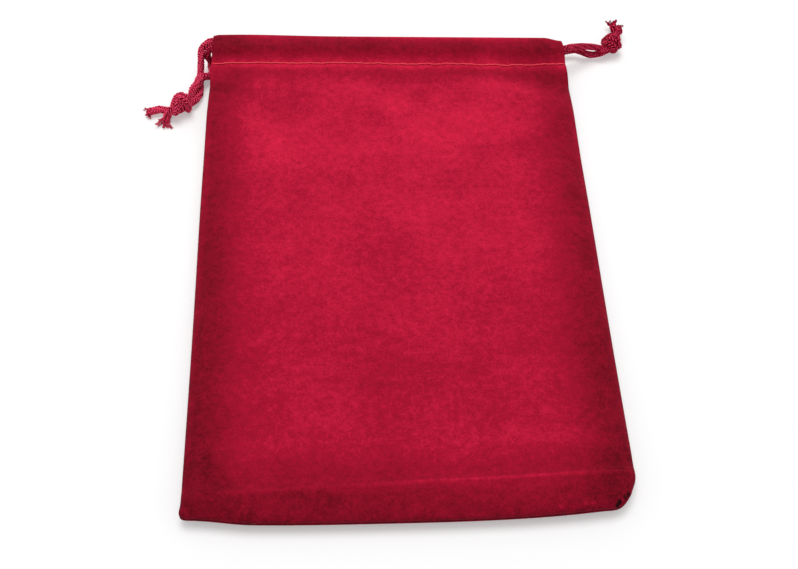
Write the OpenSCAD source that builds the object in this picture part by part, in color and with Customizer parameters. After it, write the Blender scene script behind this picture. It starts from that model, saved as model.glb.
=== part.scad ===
// Drawstring bag of velour cloth, lying flat on its back panel.
// Two panels are sewn together at the sides and bottom and turned right side out.
// Each panel's top edge is folded in as a casing, and two drawcords run through both casings.
// Units are millimetres. X runs across the bag, +Y to the mouth, +Z up from the table.

/* [Bag] */
// Finished width between the side seams
bag_w = 127; // [100:1:160]
// Finished length from the bottom seam to the top fold
bag_l = 178; // [140:1:220]
// Radius of the two bottom corners
corner_r = 6; // [3:0.5:10]
// Width of the rounded strip between a seam and the flat of a panel
edge_w = 9; // [7:0.5:14]
// Distance over which the panels rise to the casings
rise_len = 40; // [25:1:55]
// Level cloth between that rise and the hem of a casing
rise_clear = 1; // [0.5:0.5:5]

/* [Cloth] */
// Thickness of the velour
cloth_t = 0.7; // [0.5:0.05:1]
// Width of the seam allowance inside the bag
allowance_w = 8; // [6:0.5:14]
// Gap between the two lips of the mouth
mouth_gap = 4.3; // [4.2:0.1:7]

/* [Casing] */
// Depth of a casing from its fold to the seam that closes it
casing_depth = 12; // [11:0.5:18]
// Length of the hem that lies inside the bag below a casing
hem_below = 4; // [2:0.5:8]
// Length of the pinched cloth between a tunnel and the end of its casing
pinch_l = 1.2; // [0.8:0.1:2]
// Set-back of the inner lip at both ends of a casing, where a cord turns
lip_setback = 4.5; // [3:0.5:8]

/* [Drawcords] */
// Diameter of a drawcord
cord_d = 2.5; // [2:0.1:2.8]
// Clearance between a cord and the cloth round it
cord_play = 0.15; // [0.1:0.05:0.3]
// Clearance between the two cords in one casing
cord_gap = 0.3; // [0.2:0.05:0.6]
// Straight part of a turn inside each casing
turn_tail = 6; // [3:0.5:12]
// How much further out the right cord turns than the left one
right_turn_out = 1.5; // [0:0.5:3]
// Straight part of a cord's free end inside the casing
end_inside = 25; // [15:1:40]
// Clearance between a cord's turn and its sliding run
turn_play = 0.2; // [0.1:0.05:0.5]

/* [Knots] */
// Length of a knot along its cord
knot_l = 9.4; // [8:0.2:12]
// Diameter of the two cords side by side in a knot
knot_core_d = 5.2; // [4.6:0.1:6]
// Diameter of the cord as it wraps round a knot
knot_wrap_d = 2.2; // [1.8:0.1:2.4]
// Lean of each wrap from square to the knot
knot_lean = 24; // [10:1:35]
// Diameter of a frayed tip at its open end
tip_d = 3.2; // [2.4:0.1:4]

/* [Stitching] */
// Diameter of the sewing thread
thread_d = 0.45; // [0.3:0.05:0.6]
// Distance from one stitch to the next
stitch_pitch = 3; // [2:0.1:5]
// Gap between the ends of two stitches
stitch_space = 0.6; // [0.3:0.1:1]
// Clearance between a thread or a seam allowance and the cloth round it
seat_gap = 0.05; // [0.02:0.01:0.15]

/* [Hidden] */
$fn = 48;

velour = "#a8142f";
velour_inside = "#7d0f24";
thread = "#e03038";
cord_red = "#a01c3c";
left = -1;
right = 1;
front = 1;
back = -1;

half_w = bag_w / 2;
half_l = bag_l / 2;
stitch_y = half_l - casing_depth;

// Heights of the casings and of the seam between the panels
tunnel_h = cord_d + 2 * cord_play;
casing_h = tunnel_h + 2 * cloth_t;
front_casing_z = casing_h + mouth_gap;
mouth_mid_z = casing_h + mouth_gap / 2;
half_t = mouth_gap / 2 + 2 * cloth_t;
lift_h = mouth_mid_z - half_t;

// The panels rise from the table to the casings between these two places
rise_end_y = stitch_y - hem_below - rise_clear;
rise_start_y = rise_end_y - rise_len;
rise_steps = 8;
function ease(u) = let (c = max(0, min(1, u))) c * c * (3 - 2 * c);
function seam_z(y) = half_t + lift_h * ease((y - rise_start_y) / rise_len);

// Rows of the two cords across a casing, measured from its fold
fold_r = casing_h / 2;
left_cord_row = fold_r;
right_cord_row = left_cord_row + cord_d + cord_gap;
tunnel_flat = right_cord_row + cord_d / 2 + cord_play;
function row_y(side) = half_l - (side == left ? left_cord_row : right_cord_row);
function tunnel_z(face) = face == front ? front_casing_z + fold_r : fold_r;

// Half of a panel's edge is a quarter of an ellipse from the seam to the flat
edge_steps = 7;
corner_steps = 6;
least_corner_r = 0.6;
side_levels = concat([stitch_y], [for (i = [rise_steps : -1 : 0]) rise_start_y + rise_len * i / rise_steps]);
function corner_arc(cx, cy, r, from) = [
  for (i = [0 : corner_steps])
    let (turn = from + 90 * i / corner_steps)
    [cx + r * cos(turn), cy + r * sin(turn)]
];
function ring_outline(inset) =
  let (
    r = max(corner_r - inset, least_corner_r),
    x = half_w - inset,
    y = -half_l + inset + r
  )
  concat(
    [for (level = side_levels) [-x, level]],
    corner_arc(-x + r, y, r, 180),
    corner_arc(x - r, y, r, 270),
    [for (i = [len(side_levels) - 1 : -1 : 0]) [x, side_levels[i]]]
  );
function panel_ring(face, skin, step) =
  let (
    turn = 90 * step / edge_steps,
    inset = skin + (edge_w - skin) * (1 - cos(turn)),
    rise = (half_t - skin) * sin(turn)
  )
  [for (p = ring_outline(inset)) [p.x, p.y, seam_z(p.y) + face * rise]];

// Two triangles for the quad a, b, c, d
function quad(a, b, c, d) = [[a, b, c], [a, c, d]];
function flip(faces) = [for (f = faces) [for (i = [len(f) - 1 : -1 : 0]) f[i]]];

// A panel is a thin tray whose rim is the seam and whose open end is the casing seam
module panel(face) {
  per_ring = len(ring_outline(0));
  last = per_ring - 1;
  sides = len(side_levels);
  skin_size = per_ring * (edge_steps + 1);
  points = concat(
    [for (s = [0 : edge_steps]) each panel_ring(face, 0, s)],
    [for (s = [0 : edge_steps]) each panel_ring(face, cloth_t, s)]
  );
  function at(skin, step, i) = skin * skin_size + step * per_ring + i;
  function slope(skin) = [
    for (s = [0 : edge_steps - 1], i = [0 : last - 1])
      each quad(at(skin, s, i), at(skin, s, i + 1), at(skin, s + 1, i + 1), at(skin, s + 1, i))
  ];
  function flat_strips(skin) = [
    for (i = [0 : sides - 2])
      each quad(at(skin, edge_steps, i), at(skin, edge_steps, i + 1),
        at(skin, edge_steps, last - i - 1), at(skin, edge_steps, last - i))
  ];
  function flat_end(skin) = [[for (i = [sides - 1 : last - sides + 1]) at(skin, edge_steps, i)]];
  function skin_faces(skin) = concat(slope(skin), flat_strips(skin), flat_end(skin));
  rim = [for (i = [0 : last - 1]) each quad(at(1, 0, i), at(1, 0, i + 1), at(0, 0, i + 1), at(0, 0, i))];
  open_end = [
    for (s = [0 : edge_steps - 1]) each concat(
      quad(at(0, s, 0), at(0, s + 1, 0), at(1, s + 1, 0), at(1, s, 0)),
      quad(at(1, s, last), at(1, s + 1, last), at(0, s + 1, last), at(0, s, last))
    )
  ];
  open_flat = quad(at(0, edge_steps, 0), at(0, edge_steps, last), at(1, edge_steps, last), at(1, edge_steps, 0));
  upward = concat(skin_faces(0), flip(skin_faces(1)), rim, open_end, open_flat);
  color(velour) polyhedron(points, face == front ? flip(upward) : upward, convexity = 6);
}
module front_panel() panel(front);
module back_panel() panel(back);

// Height of a casing's outer skin over its inner lip, at a distance from the fold
slope_steps = 8;
function casing_top(v) = casing_h - tunnel_h * ease((v - tunnel_flat) / (casing_depth - tunnel_flat));
function slope_points(to, drop) = [
  for (i = [0 : slope_steps])
    let (v = tunnel_flat + (to - tunnel_flat) * i / slope_steps)
    [v, casing_top(v) - drop]
];
module casing_outline() {
  translate([fold_r, fold_r])
    circle(r = fold_r);
  polygon(concat([[casing_depth, 0], [fold_r, 0], [fold_r, casing_h]], slope_points(casing_depth, 0)));
}
module tunnel_outline() {
  translate([fold_r, fold_r])
    circle(r = fold_r - cloth_t);
  tunnel_end = casing_depth - pinch_l;
  polygon(concat(
    [[tunnel_end, cloth_t], [fold_r, cloth_t], [fold_r, casing_h - cloth_t]],
    slope_points(tunnel_end, cloth_t)
  ));
}
// Extrudes a profile along X, with its first axis running from the fold to the bottom seam
module across_bag(width) {
  translate([width / 2, half_l, 0])
    rotate([90, 0, -90])
      linear_extrude(width)
        children();
}
// One casing with its inner lip at the bottom
module casing() {
  difference() {
    across_bag(bag_w)
      difference() {
        casing_outline();
        tunnel_outline();
      }
    for (side = [left, right])
      translate([side * half_w, half_l, 0])
        cube([2 * lip_setback, 2 * tunnel_flat, 2 * fold_r], center = true);
  }
  hem_inset = edge_w + cloth_t;
  hem_root = pinch_l / 2;
  translate([hem_inset - half_w, stitch_y - hem_below, 0])
    cube([bag_w - 2 * hem_inset, hem_below + hem_root, cloth_t]);
}
module front_casing() {
  color(velour)
    translate([0, 0, front_casing_z])
      casing();
}
module back_casing() {
  color(velour)
    translate([0, 0, casing_h])
      mirror([0, 0, 1])
        casing();
}

// The seam allowances lie between the panels, inside the seam thread
thread_inset = cloth_t + 2 * seat_gap + thread_d / 2;
inner_half_t = half_t - cloth_t;
edge_room = sqrt(1 - pow((cloth_t + seat_gap) / inner_half_t, 2));
allowance_inset = max(thread_inset + thread_d / 2 + seat_gap, cloth_t + (edge_w - cloth_t) * (1 - edge_room));
allowance_end_y = -half_l + allowance_inset + allowance_w + seat_gap;
module side_allowance(side) {
  levels = concat(side_levels, [allowance_end_y]);
  outer = half_w - allowance_inset;
  inner = outer - allowance_w;
  points = [
    for (y = levels) each [
      [side * outer, y, seam_z(y) - cloth_t],
      [side * inner, y, seam_z(y) - cloth_t],
      [side * inner, y, seam_z(y) + cloth_t],
      [side * outer, y, seam_z(y) + cloth_t]
    ]
  ];
  last = 4 * (len(levels) - 1);
  walls = [
    for (i = [0 : len(levels) - 2], k = [0 : 3])
      each quad(4 * i + k, 4 * i + (k + 1) % 4, 4 * i + 4 + (k + 1) % 4, 4 * i + 4 + k)
  ];
  faces = concat(walls, [[3, 2, 1, 0], [last, last + 1, last + 2, last + 3]]);
  color(velour_inside) polyhedron(points, side == right ? flip(faces) : faces);
}
module left_seam_allowance() side_allowance(left);
module right_seam_allowance() side_allowance(right);
module bottom_seam_allowance() {
  width = bag_w - 2 * (allowance_inset + corner_r);
  color(velour_inside)
    translate([-width / 2, -half_l + allowance_inset, half_t - cloth_t])
      cube([width, allowance_w, 2 * cloth_t]);
}

// One stitch of thread along X, centred
module stitch_bar() {
  rotate([0, 90, 0])
    cylinder(d = thread_d, h = stitch_pitch - stitch_space, center = true, $fn = 16);
}
// Centres of the stitches that fill a line
function stitch_places(from, to) =
  let (count = floor((to - from) / stitch_pitch))
  [for (i = [0 : count - 1]) (from + to) / 2 + (i - (count - 1) / 2) * stitch_pitch];

stitch_from_fold = casing_depth - pinch_l / 2;
stitch_over_lip = casing_top(stitch_from_fold) + thread_d / 2 + seat_gap;
module casing_stitch(z) {
  color(thread)
    for (x = stitch_places(-half_w, half_w))
      translate([x, half_l - stitch_from_fold, z])
        stitch_bar();
}
module front_casing_stitch() casing_stitch(front_casing_z + stitch_over_lip);
module back_casing_stitch() casing_stitch(casing_h - stitch_over_lip);

module side_seam_stitch(side) {
  color(thread)
    for (y = stitch_places(-half_l + corner_r, stitch_y))
      translate([side * (half_w - thread_inset), y, seam_z(y)])
        rotate([0, 0, 90])
          stitch_bar();
}
module left_seam_stitch() side_seam_stitch(left);
module right_seam_stitch() side_seam_stitch(right);
module bottom_seam_stitch() {
  color(thread)
    for (x = stitch_places(corner_r - half_w, half_w - corner_r))
      translate([x, -half_l + thread_inset, half_t])
        stitch_bar();
}

// A cord turns from one casing to the other at the side away from its free ends
turn_r = (tunnel_z(front) - tunnel_z(back)) / 2;
function turn_x(side) = half_w - lip_setback + (side == right ? right_turn_out : 0);
module cord_turn(side) {
  color(cord_red)
    translate([-side * turn_x(side), row_y(side), mouth_mid_z])
      mirror([side == right ? 1 : 0, 0, 0]) {
        rotate([90, 0, 0])
          rotate([0, 0, -90])
            rotate_extrude(angle = 180)
              translate([turn_r, 0])
                circle(d = cord_d);
        for (face = [front, back])
          translate([0, 0, face * turn_r])
            rotate([0, -90, 0])
              cylinder(d = cord_d, h = turn_tail);
      }
}
module left_cord_turn() cord_turn(left);
module right_cord_turn() cord_turn(right);

// The straight run of a cord inside one casing, from its turn to its free end
module cord_run(side, face) {
  run_l = turn_x(side) - turn_tail - turn_play + half_w - end_inside;
  color(cord_red)
    translate([side * (half_w - end_inside), row_y(side), tunnel_z(face)])
      rotate([0, -side * 90, 0])
        cylinder(d = cord_d, h = run_l);
}
module left_cord_front_run() cord_run(left, front);
module left_cord_back_run() cord_run(left, back);
module right_cord_front_run() cord_run(right, front);
module right_cord_back_run() cord_run(right, back);

// Routes of the free ends: distance out from the casing end, distance along Y from
// the cord's row, and height over the table
left_front_route = [
  [1.9, -0.4, 10.2], [3.3, -1.3, 9.2], [3.9, -2.8, 8], [4, -4.6, 6.2], [4.2, -6.6, 3.9], [4.4, -8.6, 2.2],
  [4.5, -10.6, 1.4], [4.3, -13, 1.4], [4.1, -15.3, 1.4], [4.4, -17.6, 1.5], [5.4, -19.6, 2], [6.8, -21.2, 2.6]
];
left_back_route = [
  [1.6, -0.9, 1.9], [2.2, -2.9, 1.5], [1.7, -5.2, 1.5], [1.5, -7.2, 1.6], [1.7, -8.8, 2], [2.2, -10, 3.1],
  [3.2, -11.2, 4], [4.5, -12.2, 4.2], [5.4, -13.7, 4.4], [6, -15.3, 4.5], [6.9, -17.4, 4.6], [8.4, -20.4, 4.7]
];
left_knot_at = [9.8, -23.2, 3.8];
left_tips = [[[12.6, -23.2, 3.2], [21.8, -25.8, 1.8]], [[12, -25.6, 2.8], [16.6, -31, 1.8]]];
right_front_route = [
  [2.5, 2, 9.5], [5.8, 3.4, 8.5], [9.3, 5, 7], [12.6, 6.4, 5.6], [15.4, 7.8, 5], [17.6, 9.2, 5]
];
right_back_route = [
  [1.5, 0.9, 2], [2, 2.8, 1.9], [2.6, 4.8, 2.1], [4, 6.3, 2.9], [6, 6.8, 3.5], [8.1, 6.2, 3.4],
  [10.2, 5.8, 2.7], [12.4, 5.8, 1.9], [14.6, 6.5, 1.5], [16.8, 7.8, 1.9], [18.6, 9, 2.5]
];
right_knot_at = [20.4, 11.1, 3.8];
right_tips = [[[20.4, 14.2, 3.6], [21.4, 22.4, 2.2]], [[23, 13.4, 3.2], [25.8, 20.4, 1.8]]];

function place(side, p) = [side * (half_w + p.x), row_y(side) + p.y, p.z];
function end_route(side, face, route) = concat(
  [place(side, [-end_inside, 0, tunnel_z(face)]), place(side, [0, 0, tunnel_z(face)])],
  [for (p = route) place(side, p)]
);

// A plain tube along a route, with one ring of points at each place on it
tube_sides = 8;
function unit(v) = v / norm(v);
function heading(route, i) = unit(route[min(i + 1, len(route) - 1)] - route[max(i - 1, 0)]);
function tube_ring(route, i) =
  let (
    along = heading(route, i),
    across = unit(cross([0, 0, 1], along)),
    over = cross(along, across)
  )
  [for (k = [0 : tube_sides - 1])
    route[i] + cord_d / 2 * (cos(360 * k / tube_sides) * across + sin(360 * k / tube_sides) * over)];
module tube(route) {
  last = tube_sides * (len(route) - 1);
  points = [for (i = [0 : len(route) - 1]) each tube_ring(route, i)];
  walls = [
    for (i = [0 : len(route) - 2], k = [0 : tube_sides - 1])
      let (next = (k + 1) % tube_sides, low = tube_sides * i, high = low + tube_sides)
      each quad(low + k, high + k, high + next, low + next)
  ];
  caps = [[for (k = [0 : tube_sides - 1]) k], [for (k = [tube_sides - 1 : -1 : 0]) last + k]];
  color(cord_red) polyhedron(points, concat(walls, caps));
}
module left_cord_front_end() tube(end_route(left, front, left_front_route));
module left_cord_back_end() tube(end_route(left, back, left_back_route));
module right_cord_front_end() tube(end_route(right, front, right_front_route));
module right_cord_back_end() tube(end_route(right, back, right_back_route));

// An overhand knot: the two cords side by side with two leaning wraps round them
module knot(side, at, heading_angle) {
  color(cord_red)
    translate(place(side, at))
      rotate([0, 0, heading_angle])
        rotate([0, 90, 0]) {
          cylinder(d = knot_core_d, h = knot_l - knot_core_d, center = true);
          for (z = [-1, 1])
            translate([0, 0, z * (knot_l - knot_core_d) / 2])
              sphere(d = knot_core_d);
          for (lean = [-knot_lean, knot_lean])
            rotate([0, lean, 0])
              rotate_extrude()
                translate([knot_core_d / 2, 0])
                  circle(d = knot_wrap_d);
        }
}
left_knot_heading = 35;
right_knot_heading = 55;
module left_knot() knot(left, left_knot_at, left_knot_heading);
module right_knot() knot(right, right_knot_at, right_knot_heading);

// The cut ends of a cord beyond its knot, each flaring where it frays
module tip(from, to) {
  way = to - from;
  level = norm([way.x, way.y]);
  translate(from)
    rotate([0, atan2(level, way.z), atan2(way.y, way.x)])
      cylinder(d1 = cord_d, d2 = tip_d, h = norm(way));
}
module frayed_tips(side, tips) {
  color(cord_red)
    for (ends = tips)
      tip(place(side, ends[0]), place(side, ends[1]));
}
module left_frayed_tips() frayed_tips(left, left_tips);
module right_frayed_tips() frayed_tips(right, right_tips);

front_panel();
back_panel();
front_casing();
back_casing();
left_seam_allowance();
right_seam_allowance();
bottom_seam_allowance();
front_casing_stitch();
back_casing_stitch();
left_seam_stitch();
right_seam_stitch();
bottom_seam_stitch();
left_cord_turn();
left_cord_front_run();
left_cord_back_run();
left_cord_front_end();
left_cord_back_end();
left_knot();
left_frayed_tips();
right_cord_turn();
right_cord_front_run();
right_cord_back_run();
right_cord_front_end();
right_cord_back_end();
right_knot();
right_frayed_tips();
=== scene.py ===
"""A flat velour drawstring bag: two sewn cloth panels, folded casings and two knotted drawcords.

Lengths are millimetres in the bag's own frame, and meshes are scaled to metres as they are made.
"""
import math

import bpy
import numpy as np
from mathutils import Matrix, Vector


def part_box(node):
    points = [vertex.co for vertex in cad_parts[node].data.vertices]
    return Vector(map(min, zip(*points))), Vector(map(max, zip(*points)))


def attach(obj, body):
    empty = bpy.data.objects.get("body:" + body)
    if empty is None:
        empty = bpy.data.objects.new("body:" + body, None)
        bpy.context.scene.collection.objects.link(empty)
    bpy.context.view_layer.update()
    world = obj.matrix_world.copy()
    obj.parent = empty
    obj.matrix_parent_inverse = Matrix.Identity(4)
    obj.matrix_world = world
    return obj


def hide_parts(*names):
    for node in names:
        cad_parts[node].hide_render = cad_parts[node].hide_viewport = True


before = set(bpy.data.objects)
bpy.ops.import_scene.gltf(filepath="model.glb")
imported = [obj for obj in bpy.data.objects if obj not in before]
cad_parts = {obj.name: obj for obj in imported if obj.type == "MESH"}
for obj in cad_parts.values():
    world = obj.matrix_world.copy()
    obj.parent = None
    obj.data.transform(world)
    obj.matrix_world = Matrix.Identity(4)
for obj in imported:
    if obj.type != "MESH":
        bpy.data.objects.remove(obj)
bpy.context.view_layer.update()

MM = 0.001
UP = np.array([0.0, 0.0, 1.0])
LEFT, RIGHT = -1, 1
FRONT, BACK = 1, -1
SIDES = (LEFT, RIGHT)
FACES = (FRONT, BACK)
SIDE_NAMES = {LEFT: "left", RIGHT: "right"}
FACE_NAMES = {FRONT: "front", BACK: "back"}


def node_box(name):
    """Lowest and highest corner of a CAD node, in millimetres."""
    return [np.array(corner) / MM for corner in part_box(name)]


def node_middle(name):
    return sum(node_box(name)) / 2


# Sizes read from the frame
PANEL_LOW, PANEL_HIGH = node_box("front_panel")
CASING_LOW, CASING_HIGH = node_box("front_casing")
RUN_LOW, RUN_HIGH = node_box("left_cord_front_run")
HALF_W = PANEL_HIGH[0]
BOTTOM_Y = PANEL_LOW[1]
STITCH_Y = PANEL_HIGH[1]
TOP_Y = CASING_HIGH[1]
HEM_END_Y = CASING_LOW[1]
HALF_T = PANEL_LOW[2]
FOLD_R = (CASING_HIGH[2] - CASING_LOW[2]) / 2
MOUTH_MID_Z = (CASING_LOW[2] + node_box("back_casing")[1][2]) / 2
LIFT_H = MOUTH_MID_Z - HALF_T
CORD_D = RUN_HIGH[1] - RUN_LOW[1]
ROW_Y = {side: node_middle(f"{SIDE_NAMES[side]}_cord_front_run")[1] for side in SIDES}
TUNNEL_Z = {face: node_middle(f"left_cord_{FACE_NAMES[face]}_run")[2] for face in FACES}

# Cloth sizes
CLOTH_T = 0.55
EDGE_W = 9.0
RISE_LEN = 40.0
RISE_CLEAR = 1.0
RISE_END_Y = HEM_END_Y - RISE_CLEAR
SWELL_FLAT = 6.4
ALLOWANCE_W = 8.0
LIP_SETBACK = 4.5
SEAM_EDGE = 0.75
STITCH_INSET = 0.6
STITCH_LINE_Y = STITCH_Y + STITCH_INSET

# Routes of the cords, as in the part: distance out from the casing end, distance along Y
# from the cord's row, and height over the table
ROUTES = {
    (LEFT, FRONT): [
        (1.9, -0.4, 10.2), (3.3, -1.3, 9.2), (3.9, -2.8, 8), (4, -4.6, 6.2), (4.2, -6.6, 3.9),
        (4.4, -8.6, 2.2), (4.5, -10.6, 1.4), (4.3, -13, 1.4), (4.1, -15.3, 1.4), (4.4, -17.6, 1.5),
        (5.4, -19.6, 2), (6.8, -21.2, 2.6),
    ],
    (LEFT, BACK): [
        (1.6, -0.9, 1.9), (2.2, -2.9, 1.5), (1.7, -5.2, 1.5), (1.5, -7.2, 1.6), (1.7, -8.8, 2),
        (2.2, -10, 3.1), (3.2, -11.2, 4), (4.5, -12.2, 4.2), (5.4, -13.7, 4.4), (6, -15.3, 4.5),
        (6.9, -17.4, 4.6), (8.4, -20.4, 4.7),
    ],
    (RIGHT, FRONT): [
        (2.5, 2, 9.5), (5.8, 3.4, 8.5), (9.3, 5, 7), (12.6, 6.4, 5.6), (15.4, 7.8, 5), (17.6, 9.2, 5),
    ],
    (RIGHT, BACK): [
        (1.5, 0.9, 2), (2, 2.8, 1.9), (2.6, 4.8, 2.1), (4, 6.3, 2.9), (6, 6.8, 3.5), (8.1, 6.2, 3.4),
        (10.2, 5.8, 2.7), (12.4, 5.8, 1.9), (14.6, 6.5, 1.5), (16.8, 7.8, 1.9), (18.6, 9, 2.5),
    ],
}
# How many points of a route lie before the cord is drawn into its knot
ROUTE_BEFORE_KNOT = {(LEFT, FRONT): 11, (LEFT, BACK): 11, (RIGHT, FRONT): 4, (RIGHT, BACK): 8}
# Middle of each knot, the ends it is pulled tight by, where the tails beyond it lie, the ends of
# their braided part and the tufts that their yarns fray into
KNOT_AT = {LEFT: (9.4, -24.2, 3.6), RIGHT: (20.4, 11, 3.8)}
KNOT_ENDS = {
    (LEFT, FRONT): (14.2, -27.6, 1.9),
    (LEFT, BACK): (18, -24.6, 2.1),
    (RIGHT, FRONT): (22, 17.8, 3),
    (RIGHT, BACK): (23.8, 17.2, 3),
}
TAIL_MIDDLES = {
    (LEFT, FRONT): (14.2, -26.2, 1.9),
    (LEFT, BACK): (17.6, -25.1, 2.2),
    (RIGHT, FRONT): (22.7, 18, 3.2),
    (RIGHT, BACK): (24, 17, 3.1),
}
TAIL_ENDS = {
    (LEFT, FRONT): (14.6, -27.2, 1.7),
    (LEFT, BACK): (20.3, -25.7, 1.9),
    (RIGHT, FRONT): (22.7, 19.8, 3),
    (RIGHT, BACK): (24.2, 18.4, 2.9),
}
TUFTS = {
    (LEFT, FRONT): [
        (18.4, -31.4, 0.8), (16.5, -31.8, 0.7), (14.9, -31.5, 0.7), (13, -31.8, 0.7),
        (18.9, -28.6, 1), (17, -29.6, 1), (15.4, -30, 1), (14, -30, 1),
    ],
    (LEFT, BACK): [(22.4, -25.2, 1.7), (22, -26.2, 1.4), (21.5, -26.9, 1.2)],
    (RIGHT, FRONT): [(21.2, 22.2, 2.8), (23.8, 22.8, 2.8), (23.2, 22, 3)],
    (RIGHT, BACK): [(25.4, 19.4, 2.8), (24.9, 20, 2.8)],
}


def place(side, point):
    """A point of a route in the bag's frame."""
    out, along, height = point
    return np.array([side * (HALF_W + out), ROW_Y[side] + along, height])


# Small maths
def ease(u):
    c = np.clip(u, 0.0, 1.0)
    return c * c * (3.0 - 2.0 * c)


def bell(u):
    return np.exp(-np.square(u))


def unit(v):
    return v / np.linalg.norm(v, axis=-1, keepdims=True)


def ripple(x, y, length, seed, waves=9):
    """Soft random waves about one length apart, between about -1 and 1."""
    draw = np.random.default_rng(seed)
    total = np.zeros(np.broadcast(x, y).shape)
    for _ in range(waves):
        turn, start, stretch = draw.uniform((0, 0, 0.7), (math.tau, math.tau, 1.4))
        total += np.sin(math.tau * (x * math.cos(turn) + y * math.sin(turn)) / (length * stretch) + start)
    return total / math.sqrt(waves)


def soft_wave(x, y, height, length, seed):
    return height * ripple(x, y, length, seed)


def mound(at, height, reach, middle=0.0):
    """A round rise of that height about a middle, or a hollow where the height is negative."""
    return height * bell((at - middle) / reach)


def soft_step(at, height, start, length):
    """A soft step up to a height, which runs backwards where the length is negative."""
    return height * ease((at - start) / length)


def distances(line):
    """How far along a line each of its points lies."""
    gaps = np.linalg.norm(np.diff(line, axis=0), axis=1)
    return np.concatenate([[0.0], np.cumsum(gaps)])


def even_steps(line, step):
    """The same line with points at even steps close to the given one."""
    along = distances(line)
    at = np.linspace(0.0, along[-1], max(2, round(along[-1] / step) + 1))
    return np.stack([np.interp(at, along, line[:, k]) for k in range(3)], 1)


def even_range(start, end, step):
    return np.linspace(start, end, max(2, round(abs(end - start) / step) + 1))


def smooth_line(points, step):
    """A smooth curve through the points, with points at even steps."""
    p = np.array(points, float)
    p = np.vstack([2 * p[0] - p[1], p, 2 * p[-1] - p[-2]])
    t = np.linspace(0.0, 1.0, num=24, endpoint=False)[:, None]
    parts = []
    for a, b, c, d in zip(p, p[1:], p[2:], p[3:]):
        bend = (2 * a - 5 * b + 4 * c - d) * t ** 2 + (3 * b - a - 3 * c + d) * t ** 3
        parts.append(b + 0.5 * ((c - a) * t + bend))
    return even_steps(np.vstack(parts + [p[-2:-1]]), step)


def line_length(line):
    return float(np.linalg.norm(np.diff(line, axis=0), axis=1).sum())


def frames_along(line, side):
    """Two unit vectors square to the line at each point, turning as little as they can."""
    tangents = unit(np.gradient(line, axis=0))
    sides = np.empty_like(line)
    for i, tangent in enumerate(tangents):
        side = side - tangent * (side @ tangent)
        side = side / np.linalg.norm(side)
        sides[i] = side
    return sides, np.cross(tangents, sides)


# Meshes
class Shape:
    """Points, faces and values at the points of one mesh in the making."""

    def __init__(self):
        self.points = []
        self.faces = []
        self.values = {"across": [], "along": [], "rise": []}
        self.size = 0

    def add(self, points, faces, **values):
        self.points.append(points)
        self.faces.extend([i + self.size for i in face] for face in faces)
        for key, value in values.items():
            self.values[key].append(value)
        self.size += len(points)

    def add_tube(self, line, out, half_across, half_out, sides=6, start=0.0, rise=0.8):
        """A tube of oval section along a line; out is the section's short axis."""
        count = len(line)
        tangent = unit(np.gradient(line, axis=0))
        across = unit(np.cross(tangent, out))
        out = np.cross(across, tangent)
        turn = math.tau * np.arange(sides) / sides
        half_across = np.broadcast_to(half_across, count)[:, None, None]
        half_out = np.broadcast_to(half_out, count)[:, None, None]
        ring = np.cos(turn)[None, :, None] * half_across * across[:, None]
        ring = ring + np.sin(turn)[None, :, None] * half_out * out[:, None]
        points = (line[:, None] + ring).reshape(-1, 3)
        low = np.arange(count - 1)[:, None] * sides
        here = np.arange(sides)[None, :]
        after = (here + 1) % sides
        walls = np.stack([low + here, low + after, low + sides + after, low + sides + here], -1)
        caps = [list(range(sides))[::-1], list(range((count - 1) * sides, count * sides))]
        along = start + distances(line)
        self.add(
            points,
            walls.reshape(-1, 4).tolist() + caps,
            across=np.tile(np.cos(turn), count),
            along=np.repeat(along, sides),
            rise=np.repeat(np.broadcast_to(rise, count), sides),
        )

    def build(self, name, material, body, slot, node):
        """The mesh as a piece that rides on a body and stands for one CAD node."""
        obj = make_object(name, np.vstack(self.points), self.faces, material)
        for key, parts in self.values.items():
            add_values(obj, key, np.concatenate(parts))
        return finish_piece(obj, body, slot, node)


def make_object(name, points, faces, *materials):
    mesh = bpy.data.meshes.new(name)
    mesh.from_pydata((points * MM).tolist(), [], faces)
    mesh.update()
    mesh.polygons.foreach_set("use_smooth", [True] * len(mesh.polygons))
    for material in materials:
        mesh.materials.append(material)
    obj = bpy.data.objects.new(name, mesh)
    bpy.context.scene.collection.objects.link(obj)
    return obj


def add_values(obj, key, values):
    layer = obj.data.attributes.new(key, "FLOAT", "POINT")
    layer.data.foreach_set("value", np.asarray(values, np.float32))


def finish_piece(obj, body, slot, *nodes):
    """The piece rides on a body and stands for its CAD nodes. The slot is not used."""
    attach(obj, body)
    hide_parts(*nodes)
    return obj


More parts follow.
